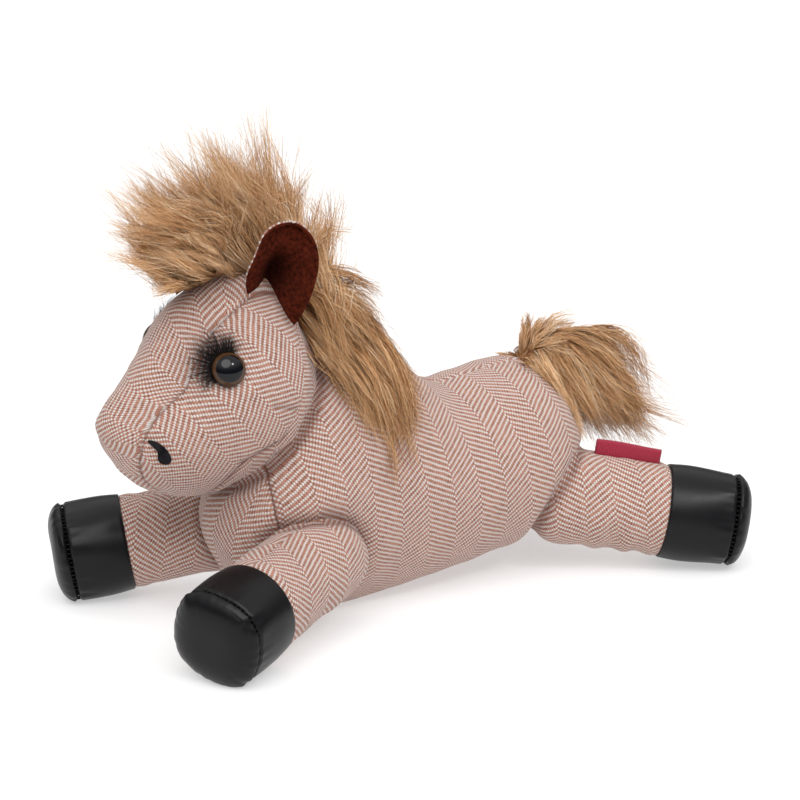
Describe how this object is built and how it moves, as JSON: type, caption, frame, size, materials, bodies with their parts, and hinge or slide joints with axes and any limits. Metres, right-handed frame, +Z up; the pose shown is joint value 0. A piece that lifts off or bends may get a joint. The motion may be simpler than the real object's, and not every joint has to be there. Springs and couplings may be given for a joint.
{
  "type": "plush horse",
  "caption": "Stuffed lying toy horse in herringbone cloth, with smooth black hooves, felt-lined ears, glossy eyes, long fur mane and tail, and legs that swing at their seams.",
  "frame": {"origin": "middle of the footprint, on the surface that the toy lies on", "axes": "+X towards the tail, so the horse faces -X; +Y towards the horse's right side; +Z up"},
  "size_m": [0.295, 0.1661, 0.201],
  "materials": {
    "herringbone_cloth": "woven wool-like herringbone in rust and off-white yarn",
    "stuffing": "loose polyester fibre",
    "black_leatherette": "smooth satin leatherette",
    "brown_felt": "matt felt",
    "black_felt": "matt felt",
    "camel_fur": "long faux fur",
    "fur_knit": "knitted fur backing",
    "eye_plastic": "high gloss with a brown iris under a clear dome",
    "washer_plastic": "moulded, matt",
    "lash_fibre": "fine black fringe",
    "label_weave": "satin woven tape, bare"
  },
  "bodies": {
    "torso": {"body_cover": "herringbone_cloth", "body_filling": "stuffing", "head_cover": "herringbone_cloth", "head_filling": "stuffing", "ear_left_cover": "herringbone_cloth", "ear_left_lining": "brown_felt", "ear_right_cover": "herringbone_cloth", "ear_right_lining": "brown_felt", "eye_left": "eye_plastic", "eye_left_washer": "washer_plastic", "eye_left_lashes": "lash_fibre", "eye_right": "eye_plastic", "eye_right_washer": "washer_plastic", "eye_right_lashes": "lash_fibre", "nostril_left": "black_felt", "nostril_right": "black_felt", "crown_fur_backing": "fur_knit", "crown_fur": "camel_fur", "mane_fur_backing": "fur_knit", "mane_fur": "camel_fur"},
    "foreleg_left": {"foreleg_left_cover": "herringbone_cloth", "foreleg_left_filling": "stuffing", "foreleg_left_hoof_cuff": "black_leatherette", "foreleg_left_hoof_sole": "black_leatherette"},
    "foreleg_right": {"foreleg_right_cover": "herringbone_cloth", "foreleg_right_filling": "stuffing", "foreleg_right_hoof_cuff": "black_leatherette", "foreleg_right_hoof_sole": "black_leatherette"},
    "hindleg_left": {"hindleg_left_cover": "herringbone_cloth", "hindleg_left_filling": "stuffing", "hindleg_left_hoof_cuff": "black_leatherette", "hindleg_left_hoof_sole": "black_leatherette", "side_label": "label_weave"},
    "hindleg_right": {"hindleg_right_cover": "herringbone_cloth", "hindleg_right_filling": "stuffing", "hindleg_right_hoof_cuff": "black_leatherette", "hindleg_right_hoof_sole": "black_leatherette"},
    "tail": {"tail_core": "fur_knit", "tail_fur": "camel_fur"}
  },
  "joints": [
    {"name": "foreleg_left_swing", "type": "hinge", "parent": "torso", "child": "foreleg_left", "pos_m": [-0.06513, -0.03582, 0.03039], "axis": [0, 0, 1], "range_deg": [-10, 12], "stiffness_Nm_per_rad": 0.05},
    {"name": "foreleg_right_swing", "type": "hinge", "parent": "torso", "child": "foreleg_right", "pos_m": [-0.06513, 0.02218, 0.03071], "axis": [0, 0, -1], "range_deg": [-10, 12], "stiffness_Nm_per_rad": 0.05},
    {"name": "hindleg_left_swing", "type": "hinge", "parent": "torso", "child": "hindleg_left", "pos_m": [0.06287, -0.02882, 0.03055], "axis": [0, 0, -1], "range_deg": [-10, 12], "stiffness_Nm_per_rad": 0.05},
    {"name": "hindleg_right_swing", "type": "hinge", "parent": "torso", "child": "hindleg_right", "pos_m": [0.06287, 0.01518, 0.03055], "axis": [0, 0, 1], "range_deg": [-10, 12], "stiffness_Nm_per_rad": 0.05},
    {"name": "tail_lift", "type": "hinge", "parent": "torso", "child": "tail", "pos_m": [0.05787, -0.00682, 0.087], "axis": [0, -1, 0], "range_deg": [0, 35]}
  ]
}
